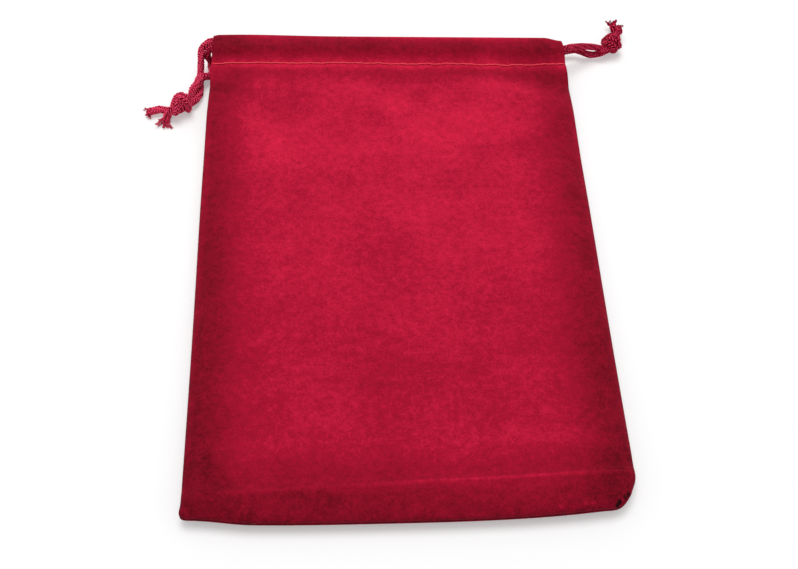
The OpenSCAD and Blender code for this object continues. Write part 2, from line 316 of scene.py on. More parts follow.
# Materials
class Nodes:
    """A material's node tree with a principled shader, and short ways to add to it."""

    def __init__(self, name):
        self.material = bpy.data.materials.new(name)
        self.material.use_nodes = True
        self.tree = self.material.node_tree
        self.shader = self.tree.nodes["Principled BSDF"]
        self.coordinates = self.add("ShaderNodeTexCoord").outputs["Object"]

    def add(self, kind, **settings):
        node = self.tree.nodes.new(kind)
        for key, value in settings.items():
            setattr(node, key, value)
        return node

    def link(self, source, target):
        if isinstance(source, (int, float)):
            target.default_value = source
        else:
            self.tree.links.new(source, target)

    def math(self, operation, a, b=0.0, c=0.0):
        node = self.add("ShaderNodeMath", operation=operation)
        for value, socket in zip((a, b, c), node.inputs):
            self.link(value, socket)
        return node.outputs[0]

    def value(self, name):
        return self.add("ShaderNodeAttribute", attribute_name=name).outputs["Fac"]

    def stretched(self, scale):
        node = self.add("ShaderNodeMapping")
        self.link(self.coordinates, node.inputs["Vector"])
        node.inputs["Scale"].default_value = scale
        return node.outputs[0]

    def noise(self, size, detail=2.0, stretch=(1.0, 1.0, 1.0)):
        """Noise with features about size millimetres across, centred on zero."""
        node = self.add("ShaderNodeTexNoise")
        self.link(self.stretched(stretch), node.inputs["Vector"])
        node.inputs["Scale"].default_value = 1.0 / (size * MM)
        node.inputs["Detail"].default_value = detail
        return self.math("SUBTRACT", node.outputs["Fac"], 0.5)

    def ramp(self, factor, *stops):
        node = self.add("ShaderNodeValToRGB")
        elements = node.color_ramp.elements
        while len(elements) < len(stops):
            elements.new(0.5)
        for element, (position, colour) in zip(elements, stops):
            element.position = position
            element.color = (*linear(colour), 1.0)
        self.link(factor, node.inputs["Fac"])
        self.link(node.outputs["Color"], self.shader.inputs["Base Color"])

    def bump(self, height, depth, strength=1.0):
        """Bump of that depth in millimetres."""
        node = self.add("ShaderNodeBump")
        node.inputs["Strength"].default_value = strength
        node.inputs["Distance"].default_value = depth * MM
        self.link(height, node.inputs["Height"])
        self.link(node.outputs["Normal"], self.shader.inputs["Normal"])

    def layered(self, base, *layers):
        """A base value with layers added to it, each a value and its strength."""
        for value, strength in layers:
            base = self.math("MULTIPLY_ADD", value, strength, base)
        return base

    def set(self, **values):
        for key, value in values.items():
            self.shader.inputs[key.replace("_", " ")].default_value = value


def linear(colour):
    """A colour of 0 to 255 as the eye sees it, as linear light."""
    shares = [c / 255 for c in colour]
    return tuple(s / 12.92 if s <= 0.04045 else ((s + 0.055) / 1.055) ** 2.4 for s in shares)


# Colours of each material from its darkest tone to its lightest: place in that range and colour
VELOUR_COLOURS = (
    (0.0, (20, 0, 2)), (1 / 3, (92, 1, 18)), (2 / 3, (160, 11, 43)), (1.0, (224, 34, 72)),
)
INSIDE_COLOURS = ((0.0, (92, 8, 26)), (1.0, (150, 22, 46)))
THREAD_COLOURS = ((0.0, (218, 34, 60)), (1.0, (252, 66, 86)))
CORD_COLOURS = ((0.0, (96, 0, 22)), (0.5, (184, 10, 50)), (1.0, (252, 78, 118)))

# Range of the velour's tones
TONE_LOW = -0.5
TONE_SPAN = 1.5
# Painted shade in the pits and painted highlights on the puckers of the bottom edge's right end: place,
# height, reach and darkness, negative for a highlight
CORNER_PAINTED_SHADE_AND_HIGHLIGHTS = (
    ((40.8, -89.1), 5.0, 0.9, -0.2),
    ((49.9, -88.4), 5.0, 0.9, -0.2),
    ((47.9, -88.1), 5.5, 0.8, -0.15),
    ((56.9, -88.8), 5.6, 0.8, 0.7),
    ((57.5, -87.9), 5.6, 0.8, 0.7),
    ((59.3, -86.6), 5.6, 0.8, 0.45),
    ((60.4, -85.7), 5.6, 0.8, 0.4),
    ((58.5, -87.4), 5.6, 0.6, -0.15),
)
PIT_FLATTENED = 0.25
PIT_EDGE = 1.6
PIT_RAGGED = 1.5


def velour_material():
    nodes = Nodes("velour")
    patches = nodes.noise(size=14.0, detail=3.0)
    mottle = nodes.noise(size=2.4, detail=3.0, stretch=(1.0, 1.1, 1.0))
    grain = nodes.noise(size=0.7)
    # The pile's tone with its painted shade and painted highlights, plus random patches, mottle and grain
    tone = nodes.layered(nodes.value("nap_and_shade"), (patches, 0.09), (mottle, 0.38), (grain, 0.44))
    flattened = nodes.stretched((1.0, 1.0, PIT_FLATTENED))
    # Painted shade in the pits and painted highlights on the puckers, with edges made ragged by the grain
    for (pit_x, pit_y), height, reach, painted_darkness in CORNER_PAINTED_SHADE_AND_HIGHLIGHTS:
        apart = nodes.add("ShaderNodeVectorMath", operation="DISTANCE")
        nodes.link(flattened, apart.inputs[0])
        apart.inputs[1].default_value = (pit_x * MM, pit_y * MM, height * PIT_FLATTENED * MM)
        fall = -PIT_EDGE / (reach * MM)
        inside = nodes.layered(PIT_EDGE, (apart.outputs["Value"], fall), (grain, PIT_RAGGED))
        inside = nodes.math("MINIMUM", nodes.math("MAXIMUM", inside, 0.0), 1.0)
        tone = nodes.layered(tone, (inside, -painted_darkness))
    nodes.ramp(nodes.layered(-TONE_LOW / TONE_SPAN, (tone, 1 / TONE_SPAN)), *VELOUR_COLOURS)
    nodes.bump(nodes.math("ADD", nodes.noise(size=0.45), mottle), depth=0.12, strength=0.6)
    nodes.set(Roughness=0.92, Sheen_Weight=0.16, Sheen_Roughness=0.35, Specular_IOR_Level=0.1)
    nodes.set(Sheen_Tint=(1.0, 0.34, 0.46, 1.0))
    return nodes.material


# Scale and wander of the wales on the knitted inner side
WALE_SCALE = 320.0
WALE_WANDER = 1.5


def inside_material():
    nodes = Nodes("velour_inside")
    texture = nodes.add("ShaderNodeTexWave", wave_type="BANDS", bands_direction="X")
    nodes.link(nodes.coordinates, texture.inputs["Vector"])
    texture.inputs["Scale"].default_value = WALE_SCALE
    texture.inputs["Distortion"].default_value = WALE_WANDER
    wales = texture.outputs["Fac"]
    tone = nodes.layered(0.35, (nodes.noise(size=1.2, detail=3.0), 0.5), (wales, 0.3))
    nodes.ramp(tone, *INSIDE_COLOURS)
    nodes.bump(wales, depth=0.15, strength=0.7)
    nodes.set(Roughness=0.9, Sheen_Weight=0.1, Specular_IOR_Level=0.15)
    return nodes.material


THREAD_FIBRES = 7.0


def thread_material():
    nodes = Nodes("thread")
    fibres = nodes.math("SINE", nodes.math("MULTIPLY", nodes.value("across"), THREAD_FIBRES))
    tone = nodes.layered(0.55, (fibres, 0.12), (nodes.noise(size=2.0), 0.5))
    nodes.ramp(tone, *THREAD_COLOURS)
    nodes.bump(fibres, depth=0.03, strength=0.5)
    nodes.set(Roughness=0.5, Sheen_Weight=0.2, Specular_IOR_Level=0.35)
    return nodes.material


# Plies across a yarn of the cord, fibres along it and how far they lean
YARN_PLIES = 11.0
YARN_FIBRES = 5.5
FIBRE_LEAN = 5.0


def cord_material():
    """Yarns with a painted highlight where they cross over the others, and painted shade where they dip
    under them and at their edges.
    """
    nodes = Nodes("cord")
    across = nodes.value("across")
    plies = nodes.math("SINE", nodes.math("MULTIPLY", across, YARN_PLIES))
    lean = nodes.math("MULTIPLY", across, FIBRE_LEAN)
    fibres = nodes.math("SINE", nodes.layered(lean, (nodes.value("along"), YARN_FIBRES)))
    relief = nodes.math("ADD", plies, fibres)
    # Painted shade at the edges of each yarn, where it meets the next
    edge = nodes.math("POWER", nodes.math("ABSOLUTE", across), 2.0)
    # The rise of each yarn, with its cord's painted light, becomes its painted highlight and painted
    # shade
    tone = nodes.layered(-0.15, (nodes.value("rise"), 1.35), (relief, 0.08))
    tone = nodes.layered(tone, (nodes.noise(size=1.1, detail=3.0), 1.2), (edge, -0.85))
    nodes.ramp(tone, *CORD_COLOURS)
    nodes.bump(relief, depth=0.05, strength=0.6)
    nodes.set(Roughness=0.6, Sheen_Weight=0.05, Sheen_Roughness=0.4, Specular_IOR_Level=0.05)
    nodes.set(Sheen_Tint=(1.0, 0.3, 0.45, 1.0))
    return nodes.material


# Floor: how much of its white is its own, and how white that is near and far, a painted shade that
# darkens it towards the camera
FLOOR_OWN_WHITE = 0.3
FLOOR_NEAR_Y, FLOOR_FAR_Y = -160.0, 60.0
FLOOR_NEAR_WHITE, FLOOR_FAR_WHITE = 0.88, 1.0


def floor_material():
    """A white sweep that looks pale to the camera and keeps a faint shadow."""
    nodes = Nodes("pale_floor")
    nodes.set(Base_Color=(0.96, 0.96, 0.96, 1.0), Roughness=0.8, Specular_IOR_Level=0.1)
    split = nodes.add("ShaderNodeSeparateXYZ")
    nodes.link(nodes.coordinates, split.inputs[0])
    reach = nodes.add("ShaderNodeMapRange")
    nodes.link(split.outputs["Y"], reach.inputs["Value"])
    span = (FLOOR_NEAR_Y * MM, FLOOR_FAR_Y * MM, FLOOR_NEAR_WHITE, FLOOR_FAR_WHITE)
    for key, value in zip(("From Min", "From Max", "To Min", "To Max"), span):
        reach.inputs[key].default_value = value
    glow = nodes.add("ShaderNodeEmission")
    nodes.link(reach.outputs["Result"], glow.inputs["Strength"])
    rays = nodes.add("ShaderNodeLightPath").outputs
    seen = nodes.math("MAXIMUM", rays["Is Camera Ray"], rays["Is Glossy Ray"])
    seen = nodes.math("MAXIMUM", seen, rays["Is Transmission Ray"])
    mixed = nodes.add("ShaderNodeMixShader")
    nodes.link(nodes.math("MULTIPLY", seen, FLOOR_OWN_WHITE), mixed.inputs["Fac"])
    nodes.link(nodes.shader.outputs[0], mixed.inputs[1])
    nodes.link(glow.outputs[0], mixed.inputs[2])
    nodes.link(mixed.outputs[0], nodes.tree.nodes["Material Output"].inputs["Surface"])
    return nodes.material


VELOUR = velour_material()
INSIDE = inside_material()
THREAD = thread_material()
CORD = cord_material()


# Camera, light and floor
PHOTO_W_PX = 798
FOCAL_PX = 1072
SENSOR_W = 36.0
CAMERA_ELEVATION = math.radians(56.08)
CAMERA_AZIMUTH = math.radians(-6.77)
CAMERA_ROLL = math.radians(5.14)
CAMERA_TARGET = (-0.35, -11.1, 0.0)
CAMERA_DISTANCE = 341.1


def make_camera():
    aim = Matrix.Translation([c * MM for c in CAMERA_TARGET])
    tilt = math.pi / 2 - CAMERA_ELEVATION
    turned = Matrix.Rotation(CAMERA_AZIMUTH, 4, "Z") @ Matrix.Rotation(tilt, 4, "X")
    back = Matrix.Translation((0.0, 0.0, CAMERA_DISTANCE * MM))
    camera = bpy.data.cameras.new("camera")
    camera.sensor_width = SENSOR_W
    camera.lens = SENSOR_W * FOCAL_PX / PHOTO_W_PX
    obj = bpy.data.objects.new("camera", camera)
    obj.matrix_world = aim @ turned @ back @ Matrix.Rotation(CAMERA_ROLL, 4, "Z")
    bpy.context.scene.collection.objects.link(obj)
    bpy.context.scene.camera = obj


# The lamp's spot and size in metres, its power, the light all round and the floor
LAMP_SPOT = (-0.08, 0.30, 1.05)
LAMP_SIZE = 0.6
LAMP_POWER = 6.5
WORLD_LIGHT = 0.66
FLOOR_HALF = 6000.0
FLOOR_Z = -0.05


def make_lamp():
    """A large square lamp behind the bag that looks at it."""
    light = bpy.data.lights.new("back_lamp", "AREA")
    light.size = LAMP_SIZE
    light.energy = LAMP_POWER
    obj = bpy.data.objects.new("back_lamp", light)
    spot = Matrix.Translation(LAMP_SPOT)
    obj.matrix_world = spot @ spot.to_translation().to_track_quat("Z", "Y").to_matrix().to_4x4()
    bpy.context.scene.collection.objects.link(obj)


def make_world():
    world = bpy.data.worlds.new("studio")
    world.use_nodes = True
    background = world.node_tree.nodes["Background"]
    background.inputs["Color"].default_value = (1.0, 1.0, 1.0, 1.0)
    background.inputs["Strength"].default_value = WORLD_LIGHT
    bpy.context.scene.world = world


def make_floor():
    square = np.array([(-1, -1, 0), (1, -1, 0), (1, 1, 0), (-1, 1, 0)])
    corners = FLOOR_HALF * square + FLOOR_Z * UP
    make_object("floor", corners, [(0, 1, 2, 3)], floor_material())


bpy.context.scene.view_settings.view_transform = "Standard"
make_camera()
make_world()
make_floor()
make_lamp()


# Cloth panels
CASING_BULGE = CASING_HIGH[2] - MOUTH_MID_Z - HALF_T
LIP_REL = CASING_LOW[2] - MOUTH_MID_Z
LIP_HALF_W = HALF_W - LIP_SETBACK
HEM_HALF_W = HALF_W - EDGE_W - CLOTH_T
FOLD_Y = TOP_Y - FOLD_R
CORNER_POWER = {LEFT: 8.0, RIGHT: 2.1}
# The sides open from that far below the casing, over that length
OPEN_BELOW = 9.0
OPEN_LEN = 11.0
# Steps of the mesh, and the bands along the ridge and the topstitch where they are fine
COLUMN_STEP = 1.1
ROW_STEP = 1.1
FINE_STEP = 0.4
RIDGE_BAND = 6.0
STITCH_BAND_BELOW = 6.0
STITCH_BAND_ABOVE = 3.0


def seam_height(y):
    return HALF_T + soft_step(y, LIFT_H, RISE_END_Y - RISE_LEN, RISE_LEN)


def roll_steps():
    """Distances from an outline inward that lie closest together at the outline."""
    return EDGE_W * (1 - np.cos(np.linspace(0, math.pi / 2, num=25)))


def lowness(y):
    """From 0 above the rolled bottom edge to 1 at the bottom."""
    return np.clip(1 - (y - BOTTOM_Y) / EDGE_W, 0, 1)


def edge_share(x, y):
    """From 0 on the flat of a panel to 1 at its outline, which has rounded corners."""
    closed = 1 - ease((y - STITCH_Y + OPEN_BELOW) / OPEN_LEN)
    beside = np.clip(1 - (HALF_W - np.abs(x)) / EDGE_W, 0, 1) * closed
    power = np.where(x < 0, CORNER_POWER[LEFT], CORNER_POWER[RIGHT])
    return np.clip((beside ** power + lowness(y) ** power) ** (1 / power), 0, 1)


def row_reach(side, y):
    """How far a row of a panel reaches to one side, inside the rounded corner."""
    power = CORNER_POWER[side]
    return HALF_W - EDGE_W * (1 - (1 - lowness(y) ** power) ** (1 / power))


# Soft waves of the cloth: height, length and seed
FRONT_WAVES = ((0.30, 46, 33), (0.07, 13, 34))
BACK_WAVES = ((0.12, 50, 41), (0.03, 12, 42))
LIP_WAVE = (0.08, 18, 43)
# How far the topstitch sags, and where the ridge crosses the bag's middle and how it slopes
STITCH_SAG = 0.75
RIDGE_Y = -81.5
RIDGE_SLOPE = 0.037


def stitch_line(x):
    """The topstitch wanders a little and drops at its left end."""
    wander = soft_wave(x, 0.0, height=0.18, length=40, seed=31)
    return STITCH_LINE_Y - STITCH_SAG + wander + mound(x, height=-0.3, reach=6, middle=-HALF_W)


def ridge_line(x):
    """Where the inner edge of the bottom allowance shows through the front panel."""
    return RIDGE_Y + RIDGE_SLOPE * x


CREASE_FADE = 0.35


def crease(x, y, start, end, depth, width):
    """A valley between two points that fades at both ends."""
    way = np.subtract(end, start)
    length = math.hypot(*way)
    share = ((x - start[0]) * way[0] + (y - start[1]) * way[1]) / length ** 2
    off = ((y - start[1]) * way[0] - (x - start[0]) * way[1]) / length
    return mound(off, -depth, width) * ease(share / CREASE_FADE) * ease((1 - share) / CREASE_FADE)


# The fold that widens and falls away from the topstitch towards the right edge: in height, and as painted
# shade in its valley
HEIGHT_WEDGE = {
    "start": 24, "length": 34, "depth": 1.1, "drop": 1, "fall": 9.5, "power": 2,
    "width": 2, "widening": 4,
}
WEDGE_PAINTED_SHADE = {
    "start": 20, "length": 36, "depth": 0.14, "drop": 2.5, "fall": 4, "power": 1,
    "width": 2, "widening": 4.5,
}


def wedge_fold(x, below, start, length, depth, drop, fall, power, width, widening):
    share = ease((x - start) / length)
    middle = drop + fall * share ** power
    return share * mound(below, -depth, width + widening * share, middle)


# Valleys of the front panel: two ends, depth and width
CREASES = (
    ((61.5, 30.5), (55, 38.5), 0.4, 1.1), ((62, 16.3), (53.5, 23.6), 0.4, 1.1),
    ((-62, 57.5), (-50, 64), 0.3, 1.6), ((-60.5, -88.4), (-53, -87.6), 0.25, 0.7),
    ((-43.9, -91), (-43.4, -86.5), 0.3, 0.7),
)
# Dimples and bumps of the front panel: place, depth and reach
DIMPLES = (
    ((-57, 66), 0.7, 5), ((41, -88.3), -0.4, 0.9), ((47, -88.4), -0.4, 0.8), ((49.8, -88), -0.4, 0.8),
    ((-20, 66), 0.25, 9), ((12, 68), 0.25, 8), ((57.1, -88.5), 0.9, 0.8), ((59.1, -87.2), 0.5, 0.5),
    ((60.1, -86.3), 0.5, 0.6),
)


def flat_share(x, y):
    """From 1 on the flat of a panel to 0 at its outline."""
    return 1 - edge_share(x, y) ** 4


def front_relief(x, y):
    """Height that stitching, folds and handling add to the front panel."""
    below = stitch_line(x) - y
    over = settle(x, y)[1] - ridge_line(x)
    holes = np.cos(math.tau * x / STITCH_PITCH)
    puckers = soft_wave(x, 0.2 * y, height=0.16, length=7, seed=32)
    left_groove = mound(x, height=-0.2, reach=0.7, middle=2.3 - HALF_W)
    total = mound(below, height=-0.28, reach=0.8) + mound(below, height=-0.05, reach=1.1) * holes
    total += mound(below, height=1, reach=4, middle=2) * puckers
    total += mound(over, height=0.3, reach=1.3) + mound(over, height=-0.22, reach=2.2, middle=2.6)
    total += soft_step(y, height=1, start=STITCH_Y, length=-6) * left_groove
    total += wedge_fold(x, below, **HEIGHT_WEDGE)
    for valley in CREASES:
        total += crease(x, y, *valley)
    for (spot_x, spot_y), depth, reach in DIMPLES:
        total += mound(np.hypot(x - spot_x, y - spot_y), -depth, reach)
    return total + flat_share(x, y) * sum(soft_wave(x, y, *wave) for wave in FRONT_WAVES)


def back_relief(x, y):
    """The back only lifts off the table, in long soft waves and along its stitch."""
    waves = -sum(wave[0] + soft_wave(x, y, *wave) for wave in BACK_WAVES)
    groove = mound(y, height=-0.42, reach=0.8, middle=STITCH_LINE_Y)
    return flat_share(x, y) * np.minimum(waves, 0.0) + groove


RELIEF = {FRONT: front_relief, BACK: back_relief}

# The bow of the bottom edge: depth, middle, half width and how far up it fades
BOW_DEPTH = 2.7
BOW_X = -8.0
BOW_HALF_W = 66.0
BOW_FADE = 60.0
FOLD_SINK = 0.2
# How far each side is drawn in towards the casing, from where and over which length
DRAWN_IN = {LEFT: (1.0, 56, 33), RIGHT: (-1.5, 66, 23)}
# Corners pulled out or in: place, reach, shift across and shift along
CORNER_PULLS = (
    ((57.5, -88.5), 2.6, 0.45, -0.3),
    ((63, -84.6), 1.8, -0.35, 0),
    ((-62.2, -88), 1.9, -0.9, -0.25),
)


def settle(x, y):
    """The outline as it lies: a bowed bottom edge, fuller sides and blunt ends of the fold."""
    bow = BOW_DEPTH * (np.abs((x - BOW_X) / BOW_HALF_W) ** 3 - 1)
    bow = bow + soft_step(x, height=0.8, start=-44, length=-15)
    near_bottom = 1 - ease((y - BOTTOM_Y) / BOW_FADE)
    blunt = soft_step(x, height=1.5, start=57, length=6.5)
    blunt = blunt + soft_step(x, height=0.4, start=-61.5, length=-2)
    crown = mound(x, height=0.6, reach=18, middle=-50) - FOLD_SINK - blunt
    near_fold = soft_step(y, height=1, start=STITCH_Y + 3, length=8)
    fuller = mound(y, height=0.7, reach=52, middle=32) * x / HALF_W
    left, right = (
        depth * np.clip((y - start) / length, 0, 1) for depth, start, length in DRAWN_IN.values()
    )
    drawn_in = np.where(x < 0, left, right) * soft_step(np.abs(x), height=1, start=44, length=19)
    settled_x = x + fuller + drawn_in
    settled_y = y + bow * near_bottom + crown * near_fold
    for (corner_x, corner_y), reach, shift_x, shift_y in CORNER_PULLS:
        near = bell(np.hypot(x - corner_x, y - corner_y) / reach)
        settled_x = settled_x + shift_x * near
        settled_y = settled_y + shift_y * near
    return settled_x, settled_y


def lying(x, y, z):
    """Points at those heights, moved to where the cloth lies."""
    return np.stack([*settle(x, y), z], -1)


def casing_swell(y):
    slope = TOP_Y - STITCH_Y - SWELL_FLAT
    return CASING_BULGE - soft_step(y, CASING_BULGE, TOP_Y - SWELL_FLAT, -slope)


def panel_point(face, x, y, over=0.0):
    """A point of a panel's outer side, or that far over it."""
    rel = SEAM_EDGE + (HALF_T - SEAM_EDGE) * np.sqrt(1 - np.square(edge_share(x, y)))
    rel = rel + casing_swell(y) + RELIEF[face](x, y) + over
    return lying(x, y, seam_height(y) + face * rel)


def columns():
    """Places across a panel from -1 to 1, close together at both sides."""
    roll = roll_steps()
    middle = even_range(roll[-1], 2 * HALF_W - roll[-1], COLUMN_STEP)
    return np.concatenate([roll[:-1], middle, 2 * HALF_W - roll[-2::-1]]) / HALF_W - 1


def panel_rows():
    """Heights of a panel's rows from the bottom edge to the fold."""
    roll = BOTTOM_Y + roll_steps()
    ridge_end = roll[-1] + RIDGE_BAND
    fine_start = STITCH_Y - STITCH_BAND_BELOW
    fine_end = STITCH_Y + STITCH_BAND_ABOVE
    return np.concatenate([
        roll[:-1],
        even_range(roll[-1], ridge_end, FINE_STEP)[:-1],
        even_range(ridge_end, fine_start, ROW_STEP)[:-1],
        even_range(fine_start, fine_end, FINE_STEP)[:-1],
        even_range(fine_end, FOLD_Y, step=0.7),
    ])


HEM_TAPER = 3.0


def lip_rows(face, across):
    """The fold at the mouth and the lip behind it, down to the raw hem."""
    rows = []
    for turn in np.linspace(0, math.pi, num=13)[1:]:
        x = across * (HALF_W - LIP_SETBACK * ease((1 - math.cos(turn)) / 2))
        y = np.full_like(x, FOLD_Y + FOLD_R * math.sin(turn))
        rel = np.full_like(x, LIP_REL + FOLD_R * (1 + math.cos(turn)))
        rows.append(lying(x, y, MOUTH_MID_Z + face * rel))
    for row_y in even_range(FOLD_Y, HEM_END_Y, step=1.2)[1:]:
        taper = soft_step(row_y, LIP_HALF_W - HEM_HALF_W, STITCH_Y + HEM_TAPER, -HEM_TAPER)
        x = across * (LIP_HALF_W - taper)
        y = np.full_like(x, row_y)
        rel = LIP_REL - LIP_WAVE[0] - soft_wave(x, y, *LIP_WAVE)
        rel = rel + mound(y, height=-0.1, reach=0.8, middle=STITCH_LINE_Y)
        rows.append(lying(x, y, MOUTH_MID_Z + face * rel))
    return rows


def grid_faces(row_count, column_count, flip):
    corner = np.arange(row_count - 1)[:, None] * column_count + np.arange(column_count - 1)[None]
    above = corner + column_count
    quads = np.stack([corner, corner + 1, above + 1, above], -1).reshape(-1, 4)
    return (quads[:, ::-1] if flip else quads).tolist()


# The turned edge: the gap it leaves at the seam, how far in it ends, and least sizes of its parts
SEAM_GAP = 0.25
TUCK_END = 1.4
TUCK_LEAST_DROP = 0.05
TUCK_LEAST_REST = 0.1


def tuck_rows(face, edge):
    """The edge of a panel turned in along the seam, from its outline inward."""
    way = unit(np.gradient(edge[:, :2], axis=0))
    inward = np.column_stack([-way[:, 1], way[:, 0], np.zeros(len(way))])
    drop = face * (edge[:, 2] - seam_height(edge[:, 1])) - SEAM_GAP
    drop = np.maximum(drop, TUCK_LEAST_DROP)[:, None]
    rows = []
    for turn in np.linspace(0, math.pi / 2, num=5)[1:]:
        rows.append(edge + drop * ((1 - math.cos(turn)) * inward - math.sin(turn) * face * UP))
    rest = np.maximum(TUCK_END - drop, TUCK_LEAST_REST)
    rows += [rows[-1] + rest * share * inward for share in (0.5, 1.0)]
    return rows


def thicken(obj, thickness, offset=-1.0):
    """Gives a sheet its thickness, with the second material on its inner side."""
    layer = obj.modifiers.new("thickness", "SOLIDIFY")
    layer.thickness = thickness * MM
    layer.offset = offset
    layer.material_offset = len(obj.data.materials) - 1
    with bpy.context.temp_override(object=obj, active_object=obj, selected_objects=[obj]):
        bpy.ops.object.modifier_apply(modifier=layer.name)


# How light the pile is painted from the bottom edge to the fold: pile direction together with painted
# shade on the rolled bottom edge and a painted highlight along the top fold
PILE_AND_SHADE_LEVELS = (
    (-91, 0.24), (-85, 0.26), (-82.5, 0.37), (-77, 0.41), (-70, 0.54), (-60, 0.54), (-50, 0.52),
    (-25, 0.57), (15, 0.61), (30, 0.64), (40, 0.7), (50, 0.68), (66, 0.59), (70, 0.53), (72.5, 0.47),
    (74, 0.54), (76.5, 0.76), (79, 0.51), (81, 0.3), (82.5, 0.25), (84.5, 0.31), (86.5, 0.47),
    (88, 0.58),
)
# Painted shade: how much darker it is painted towards the sides, where the cloth rolls down
SIDE_PAINTED_SHADE = (
    (40, 0), (48, 0.08), (53, 0.22), (57, 0.34), (61.2, 0.38), (63, 0.28), (66, 0.2),
)
# Patches of pile brushed lighter or darker, with painted shade and painted highlights among them: place,
# reach across, reach along and change
NAP_AND_SHADE_PATCHES = (
    ((-40, 57), 10, 6, -0.12), ((-56, 56), 7, 5, 0.12), ((0, 58), 5, 4, 0.1), ((30, 39), 7, 4, -0.1),
    ((48, 77), 8, 3.5, -0.1), ((4, -45), 9, 7, -0.06), ((40, -38), 9, 5, -0.06),
    ((-10, 53), 10, 6, -0.1), ((2, 71), 20, 3, -0.06), ((46, 40), 14, 6, -0.12),
    ((-20, 25), 36, 8, -0.05), ((-32, -84), 14, 7, -0.1), ((34, 67), 15, 3.5, 0.12),
    ((-12, 65), 6, 4, 0.08), ((10, 64), 4, 3, -0.1), ((-48, 55), 4, 4, 0.12), ((30, 55), 5, 4, 0.1),
    ((-55, -51), 9, 6, 0.12), ((-62, -84), 3, 6, -0.12), ((57, 10), 6, 6, 0.09), ((60, 60), 5, 3, 0.1),
    ((59, 68), 6, 7, 0.12), ((36, -68), 12, 3.5, 0.07), ((57, -86), 4, 4, 0.1), ((-60, 84), 7, 4, -0.1),
    ((60, 84), 5, 4, 0.2), ((-36, 83), 24, 4, -0.03), ((22, 88.5), 30, 2.4, 0.14),
    ((-56, 88), 9, 2, -0.08), ((-61, 72), 5, 4, 0.24), ((61.5, 72), 3, 7, 0.1), ((51, 63), 7, 4, 0.14),
    ((-56, -86), 5, 4, 0.1), ((24, 17), 10, 7, 0.06), ((50, -68), 12, 3, 0.05),
)
# Painted shade in a tuck of the bottom edge: place, reach across, reach along and change
TUCK_PAINTED_SHADE = (((-44.2, -89.5), 0.8, 2, -0.15),)
NAP_WAVES = ((0.03, 34, 61), (0.02, 12, 62))
NAP_FLOOR = 0.12
# Painted shade on slopes below the topstitch
SLOPE_PAINTED_SHADE = 0.22
# Painted highlight along the crest of the ridge
RIDGE_PAINTED_HIGHLIGHT = 0.081


def brushed_and_shaded(level, x, y, patches):
    for (patch_x, patch_y), reach_x, reach_y, change in patches:
        level = level + mound(x, change, reach_x, patch_x) * mound(y, 1, reach_y, patch_y)
    return level


def nap_and_shade(face, points, normals):
    """How light the pile is painted: pile direction with painted shade, darker along the sides, on
    slopes, in folds and over the casing, and painted highlights along the ridge and the fold.
    """
    x, y = points[:, 0], points[:, 1]
    level = np.interp(y, *zip(*PILE_AND_SHADE_LEVELS))
    over_casing = soft_step(y, height=0.45, start=68, length=8)
    # Painted shade towards the sides, fading out over the casing
    level = level - np.interp(np.abs(x), *zip(*SIDE_PAINTED_SHADE)) * (1 - over_casing)
    # Painted shade on slopes below the topstitch, from how far the cloth's normals tilt away from upright
    slope = 1 - np.clip(face * normals[:, 2], 0.0, 1.0)
    level = level - slope * soft_step(y, SLOPE_PAINTED_SHADE, start=STITCH_Y, length=-3)
    # Painted highlight along the crest of the ridge over the bottom allowance
    ridge = RIDGE_PAINTED_HIGHLIGHT + soft_step(x, height=0.099, start=-20, length=25)
    ridge = ridge + mound(x, height=0.09, reach=9, middle=37)
    level = level + mound(y, ridge, reach=0.55, middle=ridge_line(x))
    # Painted shade in that fold
    level = level + wedge_fold(x, stitch_line(x) - y, **WEDGE_PAINTED_SHADE)
    # Patches of brushed pile, painted shade and painted highlights, kept above the lowest level
    level = np.maximum(brushed_and_shaded(level, x, y, NAP_AND_SHADE_PATCHES), NAP_FLOOR)
    # Painted shade in the tuck
    level = brushed_and_shaded(level, x, y, TUCK_PAINTED_SHADE)
    return level + sum(soft_wave(x, y, *wave) for wave in NAP_WAVES)


def make_panel(face):
    """One panel with its turned edges, its casing, the fold at the mouth and the lip."""
    across = columns()
    count = len(across)
    heights = panel_rows()
    rows = []
    for y in heights:
        x = across * np.where(across < 0, row_reach(LEFT, y), row_reach(RIGHT, y))
        rows.append(panel_point(face, x, np.full_like(x, y)))
    rows += lip_rows(face, across)
    points = np.concatenate(rows)
    faces = grid_faces(len(rows), count, face == BACK)
    closed_rows = int(np.searchsorted(heights, STITCH_Y))
    left_edge = [r * count for r in range(closed_rows, 0, -1)]
    right_edge = [r * count + count - 1 for r in range(1, closed_rows + 1)]
    line = left_edge + list(range(count)) + right_edge
    for row in tuck_rows(face, points[line]):
        after = list(range(len(points), len(points) + len(line)))
        points = np.concatenate([points, row])
        for a, b, c, d in zip(line, line[1:], after[1:], after):
            faces.append([d, c, b, a] if face == FRONT else [a, b, c, d])
        line = after
    name = FACE_NAMES[face]
    obj = make_object(f"{name}_cloth", points, faces, VELOUR, INSIDE)
    normals = np.array([v.normal[:] for v in obj.data.vertices])
    add_values(obj, "nap_and_shade", nap_and_shade(face, points, normals))
    thicken(obj, CLOTH_T)
    return finish_piece(obj, "bag", "velour", f"{name}_panel", f"{name}_casing")


# Seam allowances, with waves that lift their raw edges
TUCK_OVERLAP = 0.1
ALLOWANCE_IN = TUCK_END - TUCK_OVERLAP
ALLOWANCE_REL = 0.32
ALLOWANCE_LIFT = 0.22
SEAM_STEP = 2.0


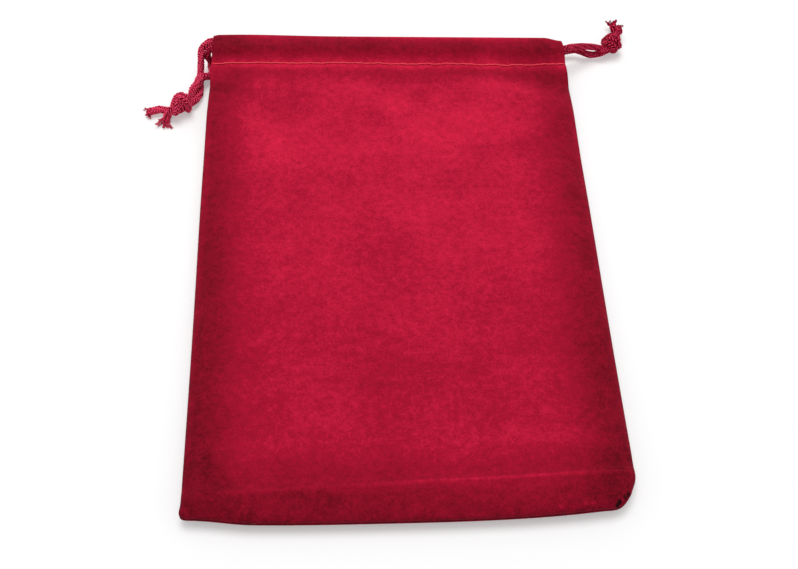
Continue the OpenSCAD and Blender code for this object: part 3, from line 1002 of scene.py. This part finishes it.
def make_allowance(name, x, y, inward):
    """The raw edges of both panels inside one seam, as two strips."""
    line = lying(x, y, seam_height(y))
    depths = even_range(ALLOWANCE_IN, ALLOWANCE_IN + ALLOWANCE_W, step=1.0)
    points, faces = [], []
    for face in FACES:
        wave = soft_wave(line[:, 0], line[:, 1], ALLOWANCE_LIFT, length=11, seed=44 + face)
        first = sum(map(len, points))
        for depth in depths:
            row = line + np.multiply(inward, depth)
            curl = soft_step(depth, height=1, start=2, length=6)
            row[:, 2] += face * (ALLOWANCE_REL + (ALLOWANCE_LIFT + wave) * curl)
            points.append(row)
        quads = grid_faces(len(depths), len(line), face == BACK)
        faces += [[i + first for i in quad] for quad in quads]
    obj = make_object(f"{name}_allowance", np.concatenate(points), faces, INSIDE)
    thicken(obj, CLOTH_T, 0.0)
    return finish_piece(obj, "bag", "velour_inside", f"{name}_seam_allowance")


def make_allowances():
    pieces = []
    y = even_range(BOTTOM_Y + ALLOWANCE_IN + ALLOWANCE_W, STITCH_Y, SEAM_STEP)
    for side in SIDES:
        pieces.append(make_allowance(SIDE_NAMES[side], np.full_like(y, side * HALF_W), y, (-side, 0, 0)))
    low, high = node_box("bottom_seam_allowance")
    x = even_range(low[0], high[0], SEAM_STEP)
    pieces.append(make_allowance("bottom", x, np.full_like(x, BOTTOM_Y), (0, 1, 0)))
    return pieces


# Sewing thread
STITCH_PITCH = 3.0
STITCH_LEN = 3.05
PLY_R = 0.16
PLY_OFF = 0.11
PLY_TWIST = 1.3


def add_stitch(shape, line):
    """One stitch of two twisted plies along a line."""
    sides, overs = frames_along(line, UP)
    turn = math.tau * distances(line) / PLY_TWIST
    for ply in (0.0, math.pi):
        away = np.cos(turn + ply)[:, None] * sides + np.sin(turn + ply)[:, None] * overs
        shape.add_tube(line + PLY_OFF * away, away, PLY_R, PLY_R, sides=5)


def stitch_places(start, end):
    count = math.floor((end - start) / STITCH_PITCH)
    return (start + end) / 2 + (np.arange(count) - (count - 1) / 2) * STITCH_PITCH


# Stitches that shift and lean a little, and sink at their holes
STITCH_JITTER = (0.02, 0.02)
STITCH_OVER = 0.36
STITCH_SINK = 0.1


def make_topstitch(face):
    """The row of stitches that closes one casing, sunk into the pile at each hole."""
    shape = Shape()
    draw = np.random.default_rng(seed=70 + face)
    share = np.linspace(-1, 1, num=13)
    for place_x in stitch_places(-HALF_W, HALF_W):
        shift, lean = draw.normal(0.0, STITCH_JITTER)
        x = place_x + share * STITCH_LEN / 2
        y = (stitch_line(x) if face == FRONT else STITCH_LINE_Y) + shift + lean * share
        over = STITCH_OVER - STITCH_SINK * np.abs(share) ** 8
        add_stitch(shape, panel_point(face, x, y, over))
    name = FACE_NAMES[face]
    return shape.build(f"{name}_topstitch", THREAD, "bag", "thread", f"{name}_casing_stitch")


SEAM_INSET = 1.02
SEAM_START = 6.0


def make_seam_thread(name, stitches):
    """The stitches of one seam, in the groove between the panels."""
    shape = Shape()
    for x, y in stitches:
        add_stitch(shape, lying(x, y, seam_height(y)))
    shape.build(f"{name}_seam_thread", THREAD, "bag", "thread", f"{name}_seam_stitch")


def make_seam_threads():
    share = np.linspace(-1, 1, num=9) * STITCH_LEN / 2
    for side in SIDES:
        places = stitch_places(BOTTOM_Y + SEAM_START, STITCH_Y)
        x = np.full_like(share, side * (HALF_W - SEAM_INSET))
        make_seam_thread(SIDE_NAMES[side], [(x, y + share) for y in places])
    y = np.full_like(share, BOTTOM_Y + SEAM_INSET)
    places = stitch_places(SEAM_START - HALF_W, HALF_W - SEAM_START)
    make_seam_thread("bottom", [(x + share, y) for x in places])


def make_cloth():
    panels = {face: make_panel(face) for face in FACES}
    allowances = make_allowances()
    stitches = {face: make_topstitch(face) for face in FACES}
    make_seam_threads()


make_cloth()


# Drawcords: pitch of the braid, how far its yarns wave in and out, and the size of one yarn
BRAID_PITCH = 5.2
BRAID_STEP = 0.2
BRAID_WAVE = 0.22
BRAID_PHASE = 0.5
YARN_HALF_W = 0.27
YARN_HALF_T = 0.2
YARN_STANDS_OUT = 0.6
BRAID_R = CORD_D / 2 - YARN_HALF_T - BRAID_WAVE * YARN_STANDS_OUT
CARRIERS = 6
BRAID_TWIST = 26.0
# Painted light: how much lighter each cord is painted, the left cord lying in more light than the right
CORD_PAINTED_LIGHT = {LEFT: 0.09, RIGHT: -0.16}


def braid_yarns(line, side, tone, start=0.0, swell=1.0):
    """Flat yarns that pass over two and under two, half of them each way round the line."""
    sides, overs = frames_along(line, side)
    along = start + distances(line)
    crossing = 2 * CARRIERS * along / BRAID_PITCH
    yarns = []
    for k in range(CARRIERS):
        for hand in (1, -1):
            turn = math.tau * (hand * along / BRAID_PITCH + k / CARRIERS + along / BRAID_TWIST)
            wave = hand * np.cos(math.pi / 2 * (hand * crossing + 2 * k - BRAID_PHASE))
            out = np.cos(turn)[:, None] * sides + np.sin(turn)[:, None] * overs
            reach = (BRAID_R + BRAID_WAVE * wave) * swell
            # The last value is the yarn's painted shade: light where it crosses over, dark where it dips
            # under, plus its cord's painted light
            yarns.append((line + out * reach[:, None], out, (1 + wave) / 2 + tone))
    return yarns


def make_braid(name, body, node, line, side, tone, start=0.0):
    """A length of braided cord as one piece."""
    shape = Shape()
    for yarn, out, rise in braid_yarns(line, side, tone, start):
        shape.add_tube(yarn, out, YARN_HALF_W, YARN_HALF_T, start=start, rise=rise)
    shape.build(name, CORD, body, "cord", node)


# Knots: the open curve, points of each cord, its diameter while it is tied, and rounds
KNOT_SPAN = 2.12
KNOT_OPEN_SIZE = 4.0
KNOT_POINTS = 116
KNOT_CORD_D = 1.8
KNOT_ROUNDS = 800
KNOT_SWEEPS = 3
# Share of the rounds in which it is pulled, and how far the cords start from their middle line
KNOT_PULLED_BY = 0.8
KNOT_BESIDE = 0.55
# Stiffness: points that one bend spans, its least chord, and how much is eased at a time
BEND_STRIDE = 5
BEND_SHARE = 0.88
BEND_EASE = 0.3
BEND_MOST = 0.5
# How far along itself a cord has to be before it touches itself, and lowest height of its middle
SELF_SPACING = 1.35
NEVER_ZERO = 1e-12
KNOT_LOWEST_Z = 0.95


def open_knot(count):
    """An open overhand knot along X, as a polynomial curve about its own middle."""
    t = np.linspace(-KNOT_SPAN, KNOT_SPAN, count)
    return np.stack([(t ** 5 - 10 * t) / 2, t ** 4 - 4 * t ** 2 + 2.6, t ** 3 - 3 * t], 1)


def pull_together(lines, step):
    """Brings neighbouring points of each line to one step apart."""
    for first in (0, 1):
        pairs = (lines.shape[1] - first) // 2
        a = slice(first, first + 2 * pairs, 2)
        b = slice(first + 1, first + 2 * pairs, 2)
        way = lines[:, b] - lines[:, a]
        gap = np.linalg.norm(way, axis=2, keepdims=True)
        move = 0.5 * (1 - step / gap) * way
        lines[:, a] += move
        lines[:, b] -= move


def ease_bends(lines, step):
    way = lines[:, BEND_STRIDE:] - lines[:, :-BEND_STRIDE]
    gap = np.linalg.norm(way, axis=2, keepdims=True)
    move = BEND_EASE * np.clip(BEND_SHARE * BEND_STRIDE * step / gap - 1, 0, BEND_MOST) * way
    lines[:, BEND_STRIDE:] += move
    lines[:, :-BEND_STRIDE] -= move


def push_apart(lines, step, pair_mask, steps_apart):
    """Keeps the cords from passing through each other and themselves."""
    points = lines.reshape(-1, 3)
    way = points[:, None] - points[None]
    gap = np.sqrt(np.square(way).sum(2) + NEVER_ZERO)
    far_along = steps_apart * step > SELF_SPACING * KNOT_CORD_D
    i, j = np.nonzero(pair_mask & (gap < KNOT_CORD_D) & far_along)
    push = 0.5 * (KNOT_CORD_D / gap[i, j] - 1)[:, None] * way[i, j]
    move = np.zeros_like(points)
    hits = np.zeros(len(points))
    np.add.at(move, i, push)
    np.add.at(move, j, -push)
    np.add.at(hits, i, 1)
    np.add.at(hits, j, 1)
    lines += (move / np.maximum(hits, 1)[:, None]).reshape(lines.shape)


def tie_knot(centre, roll, starts, start_ways, ends, cord_length):
    """Two cords pulled tight side by side in an overhand knot, as two lines of points."""
    middle = even_steps(open_knot(count=600) * KNOT_OPEN_SIZE, step=1.0)
    middle = middle[np.linspace(0, len(middle) - 1, KNOT_POINTS).round().astype(int)]
    beside, _ = frames_along(middle, np.array([0.0, 1.0, 0.0]))
    apart = KNOT_BESIDE * KNOT_CORD_D
    axis = unit(ends.mean(0) - starts.mean(0))
    across = unit(np.cross(UP, axis))
    over = np.cross(axis, across)
    across, over = (
        across * math.cos(roll) + over * math.sin(roll),
        over * math.cos(roll) - across * math.sin(roll),
    )
    turn = np.column_stack([axis, across, over])
    lines = np.stack([middle + beside * apart, middle - beside * apart]) @ turn.T + centre
    step = cord_length / KNOT_POINTS
    open_step = line_length(lines[0]) / KNOT_POINTS
    first, last = lines[:, :2].copy(), lines[:, -1].copy()
    first_goal = np.stack([starts - start_ways * step, starts], 1)
    count = 2 * KNOT_POINTS
    cord_of = np.arange(count) // KNOT_POINTS
    pair_mask = np.triu(np.ones((count, count), bool), 1)
    steps_apart = np.abs(np.arange(count)[:, None] - np.arange(count)[None])
    steps_apart = np.where(cord_of[:, None] == cord_of[None], steps_apart, count)
    for r in range(KNOT_ROUNDS):
        share = ease(r / (KNOT_PULLED_BY * KNOT_ROUNDS))
        now = open_step + (step - open_step) * share
        for _ in range(KNOT_SWEEPS):
            pull_together(lines, now)
            ease_bends(lines, now)
            push_apart(lines, now, pair_mask, steps_apart)
            lines[..., 2] = np.maximum(lines[..., 2], KNOT_LOWEST_Z)
            lines[:, :2] = first + (first_goal - first) * share
            lines[:, -1] = last + (ends - last) * share
    return lines


# The tied knots: roll, length of each cord in one, how far a strand leads in, how full the cord
# is, and how a knot is shifted, stretched and pressed as it lies
KNOT_ROLL = {LEFT: 5.1, RIGHT: 4.2}
KNOT_LENGTH = {LEFT: 26.0, RIGHT: 33.0}
KNOT_LEAD = {LEFT: 1.5, RIGHT: 3.0}
KNOT_SWELL = 0.95
KNOT_SHIFT = {LEFT: (0.9, 0.7, 0.0), RIGHT: (0.0, 0.3, 0.0)}
KNOT_STRETCH = {LEFT: 1.1, RIGHT: 1.0}
KNOT_PRESS = {LEFT: 0.86, RIGHT: 1.0}
KNOT_LEAD_POINTS = 18
KNOT_TAIL_POINTS = 20


def settle_knot(side, lines):
    """A tied knot shifted and pressed a little, while the cords that lead into it stay."""
    out, along, height = KNOT_SHIFT[side]
    shift = np.array([side * out, along, height])
    axis = lines[:, -1].mean(0) - lines[:, 0].mean(0)
    axis = unit(axis * np.array([1.0, 1.0, 0.0]))
    across = np.cross(UP, axis)
    away = lines - lines.mean((0, 1))
    stretch = (KNOT_STRETCH[side] - 1) * (away @ axis)[..., None] * axis
    press = (KNOT_PRESS[side] - 1) * (away @ across)[..., None] * across
    order = np.arange(KNOT_POINTS)
    lines = lines + (shift + stretch + press) * ease(order / KNOT_LEAD_POINTS)[None, :, None]
    for line, face in zip(lines, FACES):
        late = ease((order - KNOT_POINTS + KNOT_TAIL_POINTS) / KNOT_TAIL_POINTS)
        line += late[:, None] * (place(side, TAIL_MIDDLES[side, face]) - line[-1])
    return lines


STRAND_INSIDE = 12.5
TURN_TAIL = 6.0
TURN_DRAWN_IN = {LEFT: 1.9, RIGHT: -0.6}

# Loose ends: how far the braid holds beyond the knot, and the plies of the yarns that fray there
TAIL_BRAIDED = {(LEFT, FRONT): 2.0, (LEFT, BACK): 6.0, (RIGHT, FRONT): 3.0, (RIGHT, BACK): 2.5}
TAIL_SWELL = 1.08
TUFT_SPREAD = 0.45
FIBRES = 3
FIBRE_R = 0.23
FIBRE_TIP_R = 0.13
FIBRE_FLOOR = 0.15
FRAY_STEP = 0.2
FRAY_LEAST_POINTS = 12
# How light the frayed yarns are painted, on the scale of the braid's painted shade
FRAY_RISE = 0.75
FRAY_BEND = 0.45
FRAY_LIFT = 0.3
CURL_SIZES = (0.2, 0.75)
CURL_POWER = 1.3
CURL_TURNS = (0.6, 1.5)
FIBRE_TWIST = 2.4
FIBRE_APART = 0.16
FIBRE_PARTING = (0.05, 0.3)


def add_frayed_yarn(shape, draw, start, way, out, tuft, tone):
    """One loose yarn that bends from the braid to its tuft, with plies that curl and part."""
    tip = tuft + draw.normal(0.0, TUFT_SPREAD, 3)
    length = np.linalg.norm(tip - start)
    share = np.linspace(0, 1, max(FRAY_LEAST_POINTS, round(length / FRAY_STEP)))[:, None]
    bend = start + FRAY_BEND * length * way
    line = start * (1 - share) ** 2 + 2 * bend * share * (1 - share) + tip * share ** 2
    curl = draw.uniform(*CURL_SIZES) * share ** CURL_POWER
    phase = draw.uniform(0, math.tau) + math.tau * draw.uniform(*CURL_TURNS) * share
    line = line + curl * (np.cos(phase) * out + np.sin(phase) * np.cross(way, out))
    line[:, 2] = np.maximum(line[:, 2], FIBRE_FLOOR + FRAY_LIFT * draw.random())
    sides, overs = frames_along(line, out)
    thin = FIBRE_R + (FIBRE_TIP_R - FIBRE_R) * share[:, 0]
    for k in range(FIBRES):
        turn = math.tau * (k / FIBRES + length * share / FIBRE_TWIST)
        apart = FIBRE_APART + draw.uniform(*FIBRE_PARTING) * share ** 2
        away = np.cos(turn) * sides + np.sin(turn) * overs
        fibre = line + apart * away
        fibre[:, 2] = np.maximum(fibre[:, 2], FIBRE_FLOOR)
        shape.add_tube(fibre, away, thin, thin, sides=5, rise=FRAY_RISE + tone)


# Strands are drawn in beside the casing's ends, by that much for that far along the strand; one
# drops as it leaves, and two lean where they cross over each other
STRAND_DRAWN_IN = {(LEFT, BACK): (1.1, 7.4), (RIGHT, BACK): (3.6, 7.0)}
DRAWN_IN_FADE = 3.4
DRAWN_IN_INSIDE = 8.0
STRAND_DROP = {(LEFT, FRONT): 0.8}
STRAND_LEAN = {(LEFT, FRONT): 0.25, (LEFT, BACK): -1.1}


def strand_lead(side, face):
    """The line of a strand from inside its casing to the knot."""
    tunnel = [place(side, (out, 0, TUNNEL_Z[face])) for out in (-STRAND_INSIDE, -STRAND_INSIDE / 2, 0)]
    route = ROUTES[side, face][:ROUTE_BEFORE_KNOT[side, face]]
    line = smooth_line(tunnel + [place(side, point) for point in route], BRAID_STEP)
    along = line[:, 1] - ROW_Y[side]
    beyond = np.arange(len(line)) * BRAID_STEP - STRAND_INSIDE
    drawn_in, far = STRAND_DRAWN_IN.get((side, face), (0.0, 0.0))
    drawn_in = drawn_in * ease(1 + beyond / DRAWN_IN_INSIDE) * (1 - ease((beyond - far) / DRAWN_IN_FADE))
    line[:, 0] -= side * drawn_in
    line[:, 0] += side * mound(along, STRAND_LEAN.get((side, face), 0.0), reach=2.4, middle=-15)
    line[:, 1] -= mound(beyond, STRAND_DROP.get((side, face), 0.0), reach=1.6, middle=2.8)
    return line


SOFTEN_REACH = 14
SOFTEN_ROUNDS = 60


def soften_line(line, middle):
    """The same line with the bend around one of its points eased out."""
    line = line.copy()
    span = slice(middle - SOFTEN_REACH, middle + SOFTEN_REACH)
    before = slice(span.start - 1, span.stop - 1)
    after = slice(span.start + 1, span.stop + 1)
    for _ in range(SOFTEN_ROUNDS):
        line[span] = 0.5 * line[span] + 0.25 * (line[before] + line[after])
    return line


def make_run(side, face):
    """The stretch of a cord that lies inside one casing at rest."""
    body = f"{SIDE_NAMES[side]}_cord"
    node = f"{body}_{FACE_NAMES[face]}_run"
    low, high = node_box(node)
    inner_x = low[0] if side == RIGHT else high[0]
    start = np.array([inner_x, ROW_Y[side], TUNNEL_Z[face]])
    end = place(side, (-STRAND_INSIDE, 0, TUNNEL_Z[face]))
    line = even_steps(np.stack([start, end]), step=0.36)
    name = f"{SIDE_NAMES[side]}_{FACE_NAMES[face]}_run"
    make_braid(name, body, node, line, UP, CORD_PAINTED_LIGHT[side], -line_length(line))


def make_turn(side):
    """The bend of a cord from one casing to the other, away from its free ends."""
    radius = (TUNNEL_Z[FRONT] - TUNNEL_Z[BACK]) / 2
    name = SIDE_NAMES[side]
    low, high = node_box(f"{name}_cord_turn")
    outer_x = low[0] if side == RIGHT else high[0]
    centre_x = outer_x + side * (radius + CORD_D / 2 + TURN_DRAWN_IN[side])
    turn = np.linspace(math.pi / 2, -math.pi / 2, num=41)
    x = centre_x - side * radius * np.cos(turn)
    arc = np.column_stack([x, np.full_like(x, ROW_Y[side]), MOUTH_MID_Z + radius * np.sin(turn)])
    tails = arc[[0, -1]] + np.array([side * TURN_TAIL, 0.0, 0.0])
    line = even_steps(np.vstack([tails[:1], arc, tails[1:]]), BRAID_STEP)
    along_y = np.array([0.0, 1.0, 0.0])
    make_braid(f"{name}_turn", "bag", f"{name}_cord_turn", line, along_y, CORD_PAINTED_LIGHT[side])


# Points over which a line's last direction is taken, and stride of the tied points that are kept
WAY_POINTS = 4
KNOT_STRIDE = 3


def tied_strands(side):
    """Both strands of a cord as face, whole line and count of points before the knot."""
    leads = [strand_lead(side, face) for face in FACES]
    starts = np.array([lead[-1] for lead in leads])
    start_ways = unit(np.array([lead[-1] - lead[-WAY_POINTS] for lead in leads]))
    ends = np.array([place(side, KNOT_ENDS[side, face]) for face in FACES])
    centre = place(side, KNOT_AT[side])
    knotted = tie_knot(centre, KNOT_ROLL[side], starts, start_ways, ends, KNOT_LENGTH[side])
    strands = []
    for face, lead, tied in zip(FACES, leads, settle_knot(side, knotted)):
        through = np.vstack([tied[1::KNOT_STRIDE], place(side, TAIL_ENDS[side, face])])
        whole = np.vstack([lead[:-1], smooth_line(through, BRAID_STEP)])
        strands.append((face, soften_line(whole, len(lead) - 1), len(lead)))
    return strands


# Points before the knot where a strand starts to swell and is full, and half a change's length
STRAND_FULL = {LEFT: 1.15, RIGHT: 1.0}
SWELL_STARTS = 70
SWELL_FULL = 45
SWELL_BLEND = 8


def strand_swell(side, count, cut, tail_cut):
    """How full a strand is at each point: fuller before the knot, tight in it and loose beyond."""
    full = STRAND_FULL[side]
    before = (cut - SWELL_STARTS, cut - SWELL_FULL, cut - SWELL_BLEND)
    beyond = (cut + SWELL_BLEND, tail_cut - SWELL_BLEND, tail_cut + SWELL_BLEND)
    sizes = (1.0, full, full, KNOT_SWELL, KNOT_SWELL, TAIL_SWELL)
    return np.interp(np.arange(count), before + beyond, sizes)


def make_cords(side):
    """The two strands of one cord with their knot, frayed tips, runs and turn."""
    name = SIDE_NAMES[side]
    body = f"{name}_cord"
    tone = CORD_PAINTED_LIGHT[side]
    knot_shape = Shape()
    tips_shape = Shape()
    draw = np.random.default_rng(seed=90 + side)
    for face, whole, lead_count in tied_strands(side):
        cut = lead_count + round(KNOT_LEAD[side] / BRAID_STEP)
        tail_cut = len(whole) - round(TAIL_BRAIDED[side, face] / BRAID_STEP) - 1
        swell = strand_swell(side, len(whole), cut, tail_cut)
        way = unit(whole[-1] - whole[-WAY_POINTS])
        tufts = [place(side, tip) for tip in TUFTS[side, face]]
        strand = Shape()
        parts = (
            (strand, slice(0, cut)),
            (knot_shape, slice(cut - 1, tail_cut)),
            (tips_shape, slice(tail_cut - 1, None)),
        )
        for k, (yarn, out, rise) in enumerate(braid_yarns(whole, UP, tone, swell=swell)):
            for shape, span in parts:
                half_w = YARN_HALF_W * swell[span]
                half_t = YARN_HALF_T * swell[span]
                shape.add_tube(yarn[span], out[span], half_w, half_t, rise=rise[span])
            add_frayed_yarn(tips_shape, draw, yarn[-1], way, out[-1], tufts[k % len(tufts)], tone)
        end = FACE_NAMES[face]
        piece = strand.build(f"{name}_{end}_strand", CORD, body, "cord", f"{body}_{end}_end")
        make_run(side, face)
    make_turn(side)
    knot = knot_shape.build(f"{name}_overhand_knot", CORD, body, "cord", f"{name}_knot")
    frays = tips_shape.build(f"{name}_frayed_yarns", CORD, body, "cord", f"{name}_frayed_tips")


for cord_side in SIDES:
    make_cords(cord_side)
